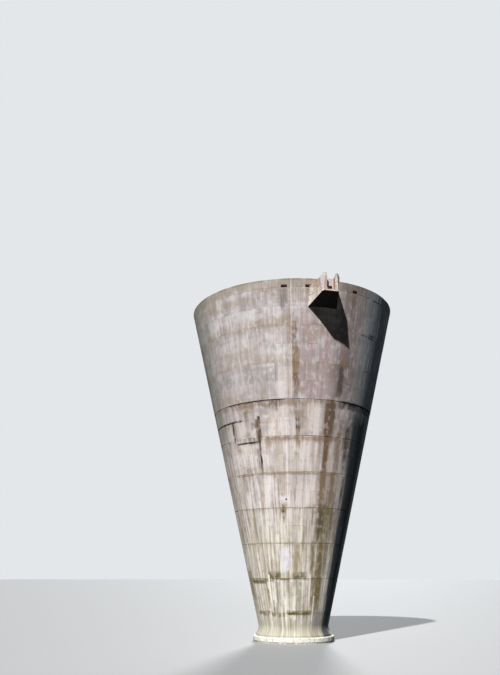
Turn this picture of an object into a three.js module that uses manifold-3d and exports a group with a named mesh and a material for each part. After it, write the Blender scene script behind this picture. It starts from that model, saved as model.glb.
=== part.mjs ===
// Water tower: an inverted cone of board-marked reinforced concrete on a flared foot.
// Millimetres, +Z up. The origin is on the axis at the underside of the plinth, and -Y is the front.
// A turn is in degrees about the axis, from the front towards the right.
import * as THREE from 'three';
import { mergeVertices } from 'three/addons/utils/BufferGeometryUtils.js';
import Module from 'manifold-3d';

const wasm = await Module();
wasm.setup();

// Wall and rim
const liftHeight = 2500;          // one pour of the wall
const liftCount = 9;
const footTop = 2150;             // the first pour joint, above the ground
const rimHeight = 600;            // the parapet band above the last pour joint
const topRadius = 7750;           // outside, at the top edge of the rim
const wallLean = 12;              // degrees that the wall leans out
const wallThickness = 350;
const rimThickness = 180;         // at the foot of the parapet
const rimChamfer = 30;
const panelCount = 14;            // formwork panels round each pour
const facetsPerPanel = 4;
const bedGap = 0.3;               // left between pieces that rest on each other
const weldReach = 0.001;          // corners closer than this are one

// Foot and plinth
const plinthRadius = 3050;
const plinthHeight = 450;
const footRadius = 2860;          // outside of the flared foot, at the plinth
const footEdge = 120;             // upright edge under the flare
const waistHeight = 1300;         // where the flare meets the lean of the wall
const flareSteps = 5;

// Roof and hatch
const roofThickness = 200;
const roofFall = 0.04;            // the roof falls towards the parapet
const roofClearance = 20;         // between the roof's edge and the parapet
const hatchSize = 900;
const hatchWall = 120;
const hatchHeight = 250;          // of the curb above the roof
const hatchPlace = 4200;          // from the axis, towards the back
const lidOverhang = 60;
const lidThickness = 60;

// Drain slots at the foot of the parapet
const slotTurns = [-3.7, 8.9, 36.3, 176.3, 188.9, 216.3];
const slotWidth = 420;
const slotHeight = 200;

// Overflow spout, high on the wall
const spoutTurn = 17.3;
const spoutReach = 1580;          // from the wall to its front, at the height of its underside
const spoutFrontWidth = 1160;     // between its outer faces, at the floor
const spoutWallWidth = 2060;      // where its underside meets the wall
const spoutJunction = 23380;      // height of the underside at the wall
const spoutUnderside = 23900;     // height of the underside at the front
const spoutFloor = 24020;         // height of the floor at the front
const spoutFloorFall = 100;       // of the floor, from the wall to the front
const frontLean = 0.085;          // the front leans out by this share of its height
const cheekBatter = 0.06;         // the outer faces spread by this share of their height
const channelWidth = 580;         // between the cheeks' inner faces, which are parallel
const cornerCut = 60;             // off the front's outer corners, at the floor
const hornTop = 25140;
const hornDepth = 150;            // from the front of a horn to the back of its top
const outerShoulder = 70;         // fall of a horn's top to its outer face
const ridgeInset = 60;            // from the outer face to the flat of a horn's top
const ridgeWidth = 240;           // of that flat
const innerShoulder = 200;        // fall of a horn's top to its inner face
const dipHeight = 24880;          // top of a cheek behind its horn
const dipSetBack = 430;           // from the front to the foot of the horn's back
const dipSteps = 6;
const cheekTopAtWall = 24690;
const apronSetBack = 300;
const apronThickness = 160;
const apronTop = 24880;
const holeWidth = 380;
const holeHeight = 330;
const lipWidth = 1060;
const lipHeight = 120;
const lipReach = 50;
const outletWidth = 400;          // opening through the tank wall behind the spout
const outletHeight = 240;

// Sizes that follow
const lean = Math.tan(THREE.MathUtils.degToRad(wallLean));
const wallWidth = wallThickness / Math.cos(THREE.MathUtils.degToRad(wallLean));
const rimBase = footTop + liftCount * liftHeight;
const totalHeight = rimBase + rimHeight;
const divisions = panelCount * facetsPerPanel;
const farReach = 2 * totalHeight; // beyond the tower on every side, for cutting blocks
const outerRadius = (z) => topRadius - lean * (totalHeight - z);
const innerRadius = (z) => outerRadius(z) - wallWidth;
const parapetInside = outerRadius(rimBase) - rimThickness;
const roofSeat = rimBase - roofThickness;
const roofEdge = parapetInside - roofClearance;
const spoutFront = outerRadius(spoutUnderside) + spoutReach;
const spoutRoot = outerRadius(spoutJunction) - wallThickness;
const spoutHalf = (out) => alongSpout(out, spoutFrontWidth, spoutWallWidth) / 2;
const spoutFloorAt = (out) => alongSpout(out, spoutFloor, spoutFloor + spoutFloorFall);
const spoutUnder = (out) => alongSpout(out, spoutUnderside, spoutJunction);
const splay = Math.atan2(spoutHalf(spoutRoot) - spoutHalf(spoutFront), spoutFront - spoutRoot);
const cheekThickness = (spoutFrontWidth - channelWidth) / 2;      // at the floor of the front

const concrete = { roughness: 0.92, metalness: 0 };
const finishes = {
  plinth: { ...concrete, color: 0xd6d0c4 },
  foot: { ...concrete, color: 0xc6bcae },
  wall: { ...concrete, color: 0xb9ab9f },
  rim: { ...concrete, color: 0xa8947f },
  roof: { ...concrete, color: 0x9c968c },
  spout: { ...concrete, color: 0xbfa595 },
  lid: { color: 0x7d8285, roughness: 0.6, metalness: 0.8 },
};

const tower = new THREE.Group();
const spout = new THREE.Group();
spout.rotation.z = THREE.MathUtils.degToRad(spoutTurn);
tower.add(spout);

// Adds one named mesh with a material of its own.
function addPiece(parent, name, geometry, finish) {
  const mesh = new THREE.Mesh(geometry, new THREE.MeshStandardMaterial(finishes[finish]));
  mesh.name = name;
  parent.add(mesh);
}

// A closed geometry as a solid that can be cut.
function solidOf(geometry) {
  const bare = geometry.clone();
  bare.deleteAttribute('normal');
  bare.deleteAttribute('uv');
  const welded = mergeVertices(bare, weldReach);
  return new wasm.Manifold(new wasm.Mesh({
    numProp: 3,
    vertProperties: new Float32Array(welded.attributes.position.array),
    triVerts: new Uint32Array(welded.index.array),
  }));
}

function geometryOf(solid) {
  const mesh = solid.getMesh();
  const geometry = new THREE.BufferGeometry();
  geometry.setAttribute('position', new THREE.BufferAttribute(new Float32Array(mesh.vertProperties), 3));
  geometry.setIndex(new THREE.BufferAttribute(new Uint32Array(mesh.triVerts), 1));
  return geometry;
}

// Takes the cutting geometries away from a geometry.
function cut(geometry, ...cutters) {
  return geometryOf(cutters.reduce((whole, cutter) => whole.subtract(solidOf(cutter)), solidOf(geometry)));
}

// A closed profile of [radius, height] points turned round the axis, with an edge on every panel seam.
function turned(profile) {
  const points = profile.map(([radius, height]) => new THREE.Vector2(radius, height));
  return new THREE.LatheGeometry(points, divisions).rotateX(Math.PI / 2);
}

// A block between its lowest and its highest corner.
function block(low, high) {
  const size = high.map((value, i) => value - low[i]);
  const middle = high.map((value, i) => (value + low[i]) / 2);
  return new THREE.BoxGeometry(...size).translate(...middle);
}

function blockAt(turn, low, high) {
  return block(low, high).rotateZ(THREE.MathUtils.degToRad(turn));
}

// An outline of [x, distance out from the axis] points, raised from one height to another.
function raised(outline, low, high) {
  const shape = new THREE.Shape(outline.map(([x, out]) => new THREE.Vector2(x, -out)));
  return new THREE.ExtrudeGeometry(shape, { depth: high - low, bevelEnabled: false }).translate(0, 0, low);
}

// An outline of [distance out from the axis, height] points, widened to both sides.
function widened(outline, width) {
  const shape = new THREE.Shape(outline.map(([out, height]) => new THREE.Vector2(out, height)));
  return new THREE.ExtrudeGeometry(shape, { depth: width, bevelEnabled: false })
    .rotateX(Math.PI / 2)
    .rotateZ(-Math.PI / 2)
    .translate(width / 2, 0, 0);
}

// Splits a ring at the seams on the front and the back, and adds its left and its right half.
function addHalves(name, ring, finish) {
  const keepLeft = block([-farReach, -farReach, -farReach], [-bedGap / 2, farReach, farReach]);
  const keepRight = block([bedGap / 2, -farReach, -farReach], [farReach, farReach, farReach]);
  addPiece(tower, `${name}_left`, geometryOf(solidOf(ring).intersect(solidOf(keepLeft))), finish);
  addPiece(tower, `${name}_right`, geometryOf(solidOf(ring).intersect(solidOf(keepRight))), finish);
}

function addPlinth() {
  const profile = [[0, 0], [plinthRadius, 0], [plinthRadius, plinthHeight], [0, plinthHeight]];
  addPiece(tower, 'plinth', turned(profile), 'plinth');
}

// The foot: an upright edge, a hollow curve in to the waist, then the lean of the wall.
function addFoot() {
  const base = plinthHeight + bedGap;
  const waist = outerRadius(waistHeight);
  const waistInside = innerRadius(waistHeight);
  const flare = new THREE.QuadraticBezierCurve(
    new THREE.Vector2(footRadius, base + footEdge),
    new THREE.Vector2(waist - lean * (waistHeight - base) / 2, (base + waistHeight) / 2),
    new THREE.Vector2(waist, waistHeight),
  );
  addHalves('foot', turned([
    [waistInside, base],
    [footRadius, base],
    ...flare.getPoints(flareSteps).map((point) => [point.x, point.y]),
    [outerRadius(footTop), footTop],
    [innerRadius(footTop), footTop],
    [waistInside, waistHeight],
    [waistInside, base],
  ]), 'foot');
}

function addLifts() {
  for (let i = 1; i < liftCount; i++) {
    const bottom = footTop + (i - 1) * liftHeight + bedGap;
    const top = footTop + i * liftHeight;
    addHalves(`lift_${i}`, turned([
      [innerRadius(bottom), bottom],
      [outerRadius(bottom), bottom],
      [outerRadius(top), top],
      [innerRadius(top), top],
      [innerRadius(bottom), bottom],
    ]), 'wall');
  }
}

// The last lift carries the roof on a ledge inside its top, and is open behind the spout.
function addTopLift() {
  const bottom = rimBase - liftHeight + bedGap;
  const ring = turned([
    [innerRadius(bottom), bottom],
    [outerRadius(bottom), bottom],
    [outerRadius(rimBase), rimBase],
    [parapetInside, rimBase],
    [parapetInside, roofSeat],
    [innerRadius(roofSeat), roofSeat],
    [innerRadius(bottom), bottom],
  ]);
  const outletFloor = spoutFloor + spoutFloorFall;
  const outlet = blockAt(
    spoutTurn,
    [-outletWidth / 2, -topRadius, outletFloor],
    [outletWidth / 2, wallThickness - innerRadius(outletFloor), outletFloor + outletHeight],
  );
  addHalves(`lift_${liftCount}`, cut(ring, outlet), 'wall');
}

function addRim() {
  const bottom = rimBase + bedGap;
  const ring = turned([
    [parapetInside, bottom],
    [outerRadius(bottom), bottom],
    [outerRadius(totalHeight - rimChamfer), totalHeight - rimChamfer],
    [topRadius - rimChamfer, totalHeight],
    [parapetInside, totalHeight],
    [parapetInside, bottom],
  ]);
  const slots = slotTurns.map((turn) => blockAt(
    turn,
    [-slotWidth / 2, -topRadius - wallThickness, roofSeat],
    [slotWidth / 2, wallThickness - parapetInside, rimBase + slotHeight],
  ));
  addHalves('rim', cut(ring, ...slots), 'rim');
}

// The roof's solid: a disc that falls from its crown to the drain slots, raised by a gap where it cuts.
function roofShape(gap) {
  const edgeTop = rimBase + gap;
  const crown = edgeTop + roofFall * roofEdge;
  return turned([[0, roofSeat + bedGap], [roofEdge, roofSeat + bedGap], [roofEdge, edgeTop], [0, crown]]);
}

// The tank's lid, with an access hatch towards the back.
function addRoof() {
  addPiece(tower, 'roof_slab', roofShape(0), 'roof');
  const roofThere = rimBase + roofFall * (roofEdge - hatchPlace);
  const curbTop = roofThere + hatchHeight;
  const hatchBlock = (grow, low, high) => block(
    [-hatchSize / 2 - grow, hatchPlace - hatchSize / 2 - grow, low],
    [hatchSize / 2 + grow, hatchPlace + hatchSize / 2 + grow, high],
  );
  const curb = hatchBlock(0, rimBase, curbTop);
  const inside = hatchBlock(-hatchWall, roofSeat, curbTop + hatchHeight);
  addPiece(tower, 'hatch_curb', cut(curb, inside, roofShape(bedGap)), 'roof');
  const lidBottom = curbTop + bedGap;
  addPiece(tower, 'hatch_lid', hatchBlock(lidOverhang, lidBottom, lidBottom + lidThickness), 'lid');
}

// A value between the spout's front and the place where its underside meets the wall, or past it.
function alongSpout(out, atFront, atWall) {
  const share = (spoutFront - out) / (spoutFront - outerRadius(spoutJunction));
  return atFront + share * (atWall - atFront);
}

// The spout's outline in plan, with its front corners cut off.
function spoutPlan() {
  const front = spoutHalf(spoutFront) - cornerCut;
  const side = spoutHalf(spoutFront - cornerCut);
  const half = [[front, spoutFront], [side, spoutFront - cornerCut], [spoutHalf(spoutRoot), spoutRoot]];
  return [...half, ...half.map(([x, out]) => [-x, out]).reverse()];
}

// The wall's outside as a filled cone, in the spout's own turn and grown by the gap.
function wallForSpout() {
  const low = spoutJunction - liftHeight;
  const high = totalHeight + liftHeight;
  const radius = (z) => outerRadius(z) + bedGap;
  return turned([[0, low], [radius(low), low], [radius(high), high], [0, high]])
    .rotateZ(-spout.rotation.z);
}

function addSpoutFloor() {
  const floor = widened([
    [spoutRoot, spoutUnder(spoutRoot)],
    [spoutFront, spoutUnder(spoutFront)],
    [spoutFront, spoutFloorAt(spoutFront)],
    [spoutRoot, spoutFloorAt(spoutRoot)],
  ], 2 * spoutWallWidth);
  const inPlan = solidOf(raised(spoutPlan(), roofSeat - liftHeight, rimBase));
  const piece = solidOf(floor).intersect(inPlan).subtract(solidOf(wallForSpout()));
  addPiece(spout, 'spout_floor', geometryOf(piece), 'spout');
}

// A cheek stands on the floor, with a battered outer face that is splayed out towards the wall and a ridged
// top. It is as wide here as the whole spout, and the channel is cut out of it later.
function cheekBoard(side) {
  const battered = (z) => cheekBatter * (spoutFloor - z);
  const profile = [
    [battered(spoutUnderside), spoutUnderside],
    [spoutFrontWidth, spoutUnderside],
    [spoutFrontWidth, hornTop - innerShoulder],
    [cheekThickness, hornTop - innerShoulder],
    [battered(hornTop) + ridgeInset + ridgeWidth, hornTop],
    [battered(hornTop) + ridgeInset, hornTop],
    [battered(hornTop), hornTop - outerShoulder],
  ];
  const shape = new THREE.Shape(profile.map(([inwards, z]) => new THREE.Vector2(-side * inwards, z)));
  const length = spoutFront - spoutRoot + 2 * spoutReach;
  return new THREE.ExtrudeGeometry(shape, { depth: length, bevelEnabled: false })
    .translate(0, 0, spoutReach - length)
    .rotateX(Math.PI / 2)
    .rotateZ(-side * splay)
    .translate(side * spoutHalf(spoutFront), -spoutFront, 0);
}

// The space above the cheeks: it starts behind the horns, falls to a dip and then slopes to the wall.
function aboveCheeks() {
  const hornBack = spoutFront + frontLean * (hornTop - spoutFloor) - hornDepth;
  const fall = new THREE.QuadraticBezierCurve(
    new THREE.Vector2(hornBack, hornTop),
    new THREE.Vector2(hornBack - hornDepth / 2, dipHeight),
    new THREE.Vector2(spoutFront - dipSetBack, dipHeight),
  );
  return widened([
    ...fall.getPoints(dipSteps).map((point) => [point.x, point.y]),
    [spoutRoot, cheekTopAtWall],
    [spoutRoot, totalHeight],
    [hornBack, totalHeight],
  ], 2 * spoutWallWidth);
}

function addCheeks() {
  const frontAt = (z) => spoutFront + frontLean * (z - spoutFloor);
  const beyondFront = widened([
    [frontAt(spoutJunction), spoutJunction],
    [farReach, spoutJunction],
    [farReach, totalHeight],
    [frontAt(totalHeight), totalHeight],
  ], farReach);
  const belowFloor = widened([
    [0, 0],
    [farReach, 0],
    [farReach, spoutFloorAt(farReach) + bedGap],
    [0, spoutFloorAt(0) + bedGap],
  ], farReach);
  for (const [name, side] of [['left', -1], ['right', 1]]) {
    const corner = block([0, -spoutReach, spoutJunction], [spoutReach, spoutReach, totalHeight])
      .rotateZ((side - 2) * Math.PI / 4)
      .translate(side * (spoutHalf(spoutFront) - cornerCut), -spoutFront, 0);
    const inside = block([-farReach, -farReach, spoutJunction], [farReach, 0, totalHeight])
      .translate(side * (channelWidth / 2 - farReach), 0, 0);
    const cheek = cut(cheekBoard(side), beyondFront, belowFloor, aboveCheeks(), corner, inside, wallForSpout());
    addPiece(spout, `spout_cheek_${name}`, cheek, 'spout');
  }
}

// The apron stands between the cheeks, behind their front, with the outlet's hole at its foot.
function addApron() {
  const front = spoutFront - apronSetBack;
  const back = front - apronThickness;
  const plate = widened([
    [back, spoutFloorAt(back) + bedGap],
    [front, spoutFloorAt(front) + bedGap],
    [front, apronTop],
    [back, apronTop],
  ], channelWidth - 2 * bedGap);
  const hole = block(
    [-holeWidth / 2, -spoutFront, spoutUnderside],
    [holeWidth / 2, -spoutRoot, spoutFloorAt(front) + holeHeight],
  );
  addPiece(spout, 'spout_apron', cut(plate, hole), 'spout');
}

function addLip() {
  addPiece(spout, 'spout_lip', block(
    [-lipWidth / 2, -spoutFront - lipReach, spoutUnderside],
    [lipWidth / 2, -spoutFront - bedGap, spoutUnderside + lipHeight],
  ), 'spout');
}

addPlinth();
addFoot();
addLifts();
addTopLift();
addRim();
addRoof();
addSpoutFloor();
addCheeks();
addApron();
addLip();

export default tower;
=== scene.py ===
import math
import random

import bmesh
import bpy
from mathutils import Matrix, Vector, noise


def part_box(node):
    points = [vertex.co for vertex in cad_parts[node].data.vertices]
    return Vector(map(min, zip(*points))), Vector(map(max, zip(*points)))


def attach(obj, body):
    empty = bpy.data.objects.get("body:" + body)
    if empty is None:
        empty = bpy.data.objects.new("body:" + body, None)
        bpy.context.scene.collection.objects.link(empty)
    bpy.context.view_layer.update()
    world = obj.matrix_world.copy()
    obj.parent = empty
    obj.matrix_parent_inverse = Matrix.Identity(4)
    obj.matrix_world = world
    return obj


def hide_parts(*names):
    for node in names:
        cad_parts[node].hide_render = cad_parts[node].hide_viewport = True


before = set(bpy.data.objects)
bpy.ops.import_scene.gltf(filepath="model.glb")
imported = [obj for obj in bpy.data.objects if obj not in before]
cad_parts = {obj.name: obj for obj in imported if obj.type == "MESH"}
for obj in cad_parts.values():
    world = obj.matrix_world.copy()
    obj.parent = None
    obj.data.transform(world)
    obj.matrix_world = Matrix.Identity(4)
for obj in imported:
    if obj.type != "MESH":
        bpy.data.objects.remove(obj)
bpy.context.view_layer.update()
scene = bpy.context.scene
print("frame loaded:", len(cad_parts), "nodes")

# The tower's lines, read from the frame
liftCount = 9
ringNames = ["foot"] + [f"lift_{i}" for i in range(1, liftCount + 1)] + ["rim"]
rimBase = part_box("lift_9_left")[1].z
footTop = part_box("foot_left")[1].z
liftHeight = (rimBase - footTop) / liftCount
baseRadius = -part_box("lift_9_left")[0].x
lean = (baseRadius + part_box("lift_1_left")[0].x) / (liftHeight * (liftCount - 1))
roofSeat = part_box("roof_slab")[0].z
slabGap = 0.02                      # between the roof slab's edge and the parapet
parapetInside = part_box("roof_slab")[1].x + slabGap
wallAcross = 0.358                  # thickness of the wall, measured level


def wallRadius(z):
    return baseRadius - lean * (rimBase - z)


# Colour and nodes

def hexColour(code):
    channels = [int(code[i:i + 2], 16) / 255 for i in (0, 2, 4)]
    linear = [c / 12.92 if c <= 0.04045 else ((c + 0.055) / 1.055) ** 2.4 for c in channels]
    return (*linear, 1.0)


def addNode(tree, kind, inputs=None, **settings):
    made = tree.nodes.new("ShaderNode" + kind)
    for name, value in settings.items():
        setattr(made, name, value)
    for name, value in (inputs or {}).items():
        value = value.outputs[0] if isinstance(value, bpy.types.Node) else value
        if isinstance(value, bpy.types.NodeSocket):
            tree.links.new(value, made.inputs[name])
        else:
            made.inputs[name].default_value = value
    return made


def newMaterial(name):
    material = bpy.data.materials.new(name)
    material.use_nodes = True
    material.node_tree.nodes.clear()
    return material, material.node_tree


# Camera

cameraView = {
    "distance": 55.5,       # from the tower's axis
    "height": 5.0,
    "turn": 3.39,           # degrees that it looks to the left of the axis
    "pitch": 6.94,          # degrees up
    "lens": 38.5,
    "shift": 0.22,
    "sight": 1000,          # how far it sees
}


def makeCamera():
    camera = bpy.data.objects.new("camera", bpy.data.cameras.new("camera"))
    camera.data.lens = cameraView["lens"]
    camera.data.shift_y = cameraView["shift"]
    camera.data.clip_end = cameraView["sight"]
    camera.location = (0, -cameraView["distance"], cameraView["height"])
    camera.rotation_euler = (math.radians(90 + cameraView["pitch"]), 0, math.radians(cameraView["turn"]))
    scene.collection.objects.link(camera)
    scene.camera = camera


# Light and floor

studio = {
    "lights": {                 # turn and height in degrees, strength, colour, softness in degrees
        "keyLight": ((-16.6, 43.6), 5.9, "F8FBFF", 1.2),
        "backLight": ((176, 20), 3.2, "F8FBFF", 10),
        "sideLight": ((114, 8), 0.17, "8FD0F0", 20),        # cool and weak, on the shaded side
    },
    "skyColour": "BFD6F2",
    "skyStrength": 0.028,
    "backdrop": "E4E7EA",
    "floorColour": "9C9B99",
    "floorBounce": "141416",    # what it sends back to the tower, so that the shadows keep their depth
    "floorRoughness": 0.9,
    "floorSize": 600,
}


def addSun(name, place, strength, colour, softness):
    turn, height = (math.radians(a) for a in place)
    lamp = bpy.data.lights.new(name, "SUN")
    lamp.energy = strength
    lamp.color = hexColour(colour)[:3]
    lamp.angle = math.radians(softness)
    sun = bpy.data.objects.new(name, lamp)
    level = math.cos(height)
    towards = Vector((math.sin(turn) * level, -math.cos(turn) * level, math.sin(height)))
    sun.rotation_euler = towards.to_track_quat("Z", "Y").to_euler()
    scene.collection.objects.link(sun)


def makeStudio():
    for name, light in studio["lights"].items():
        addSun(name, *light)
    world = bpy.data.worlds.new("softSky")
    world.use_nodes = True
    tree = world.node_tree
    tree.nodes.clear()
    sky = addNode(tree, "Background", {"Color": hexColour(studio["skyColour"]),
                                       "Strength": studio["skyStrength"]})
    backdrop = addNode(tree, "Background", {"Color": hexColour(studio["backdrop"])})
    seen = addNode(tree, "LightPath").outputs["Is Camera Ray"]
    mixed = addNode(tree, "MixShader", {0: seen, 1: sky, 2: backdrop})
    addNode(tree, "OutputWorld", {"Surface": mixed})
    scene.world = world
    scene.view_settings.view_transform = "Standard"


def makeFloor():
    material, tree = newMaterial("paleFloor")
    seen = addNode(tree, "LightPath").outputs["Is Camera Ray"]
    colour = addNode(tree, "Mix", {0: seen, 6: hexColour(studio["floorBounce"]),
                                   7: hexColour(studio["floorColour"])}, data_type="RGBA")
    shader = addNode(tree, "BsdfPrincipled", {"Base Color": colour.outputs[2],
                                              "Roughness": studio["floorRoughness"]})
    addNode(tree, "OutputMaterial", {"Surface": shader})
    bm = bmesh.new()
    bmesh.ops.create_grid(bm, x_segments=1, y_segments=1, size=studio["floorSize"])
    mesh = bpy.data.meshes.new("floor")
    bm.to_mesh(mesh)
    bm.free()
    mesh.materials.append(material)
    floor = bpy.data.objects.new("floor", mesh)
    scene.collection.objects.link(floor)


# Weathered finishes

reliefStrength = 0.5
sleeveRadius = 5.5                  # of the sleeve that a wrapped noise lies on


# What the layers of a finish go by: the place, its height and turn, attributes of the mesh, and noise of
# several sizes, each given in millimetres along x, y and z.
def surfaceValues(tree, finish):
    place = addNode(tree, "TexCoord").outputs["Object"]
    axes = addNode(tree, "SeparateXYZ", {0: place})
    values = {"place": place, "z": axes.outputs["Z"]}
    back = addNode(tree, "Math", {0: axes.outputs["Y"], 1: -1.0}, operation="MULTIPLY")
    angle = addNode(tree, "Math", {0: axes.outputs["X"], 1: back}, operation="ARCTAN2")
    values["turn"] = addNode(tree, "Math", {0: angle, 1: math.degrees(1)}, operation="MULTIPLY")

    # The wall wrapped round a straight sleeve, so that streaks follow the cone's own lines
    level = addNode(tree, "VectorMath", {0: place, 1: (1, 1, 0)}, operation="MULTIPLY")
    outwards = addNode(tree, "VectorMath", {0: level}, operation="NORMALIZE")
    sleeve = addNode(tree, "VectorMath", {0: outwards, 1: (sleeveRadius, sleeveRadius, 0)},
                     operation="MULTIPLY")
    upright = addNode(tree, "CombineXYZ", {"Z": values["z"]})
    values["wrapped"] = addNode(tree, "VectorMath", {0: sleeve, 1: upright}, operation="ADD")
    normal = addNode(tree, "SeparateXYZ", {0: addNode(tree, "NewGeometry").outputs["True Normal"]})
    values["facingUp"] = normal.outputs["Z"]
    for name in finish["attributes"]:
        values[name] = addNode(tree, "Attribute", attribute_name=name).outputs["Fac"]
    for name, (vector, sizes, detail) in finish["noises"].items():
        scale = [1000 / size for size in sizes]
        mapped = addNode(tree, "Mapping", {"Vector": values[vector], "Scale": scale})
        values[name] = addNode(tree, "TexNoise", {"Vector": mapped, "Scale": 1.0,
                                                  "Detail": float(detail)}).outputs["Fac"]
    return values


# Lays one thin colour after another over the base. A layer is its colour and its masks, which are
# multiplied. A mask is the name of a value, or (value, from, to, low, high). A value is a name or a function
# that makes it only when its layer is laid, because few values can wait at the same time.
def layColours(tree, finish, values, layers):
    colour = hexColour(finish["base"])
    for layerColour, masks in layers:
        amount = None
        for mask in masks:
            if isinstance(mask, str):
                strength = values[mask]
            else:
                value, start, end, low, high = mask
                value = value() if callable(value) else values[value]
                strength = addNode(tree, "MapRange", {
                    "Value": value, "From Min": start, "From Max": end, "To Min": low, "To Max": high},
                    interpolation_type="SMOOTHSTEP", clamp=False)
            amount = strength if amount is None else addNode(tree, "Math", {0: amount, 1: strength},
                                                             operation="MULTIPLY")
        colour = addNode(tree, "Mix", {0: amount, 6: colour, 7: hexColour(finish[layerColour])},
                         data_type="RGBA").outputs[2]
    smooth, rough = finish["roughness"]
    gloss = addNode(tree, "MapRange", {"Value": values["cloud"], "To Min": rough, "To Max": smooth})
    relief = values["grain"]
    if "woodGrain" in values:
        relief = addNode(tree, "Math", {0: relief, 1: values["woodGrain"]}, operation="ADD")
    bump = addNode(tree, "Bump", {"Height": relief, "Strength": reliefStrength,
                                  "Distance": finish["relief"]})
    shader = addNode(tree, "BsdfPrincipled", {"Base Color": colour, "Roughness": gloss, "Normal": bump,
                                              **finish["sockets"]})
    addNode(tree, "OutputMaterial", {"Surface": shader})


def weatheredMaterial(name, finish):
    material, tree = newMaterial(name)
    layColours(tree, finish, surfaceValues(tree, finish), finish["layers"])
    return material


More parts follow.
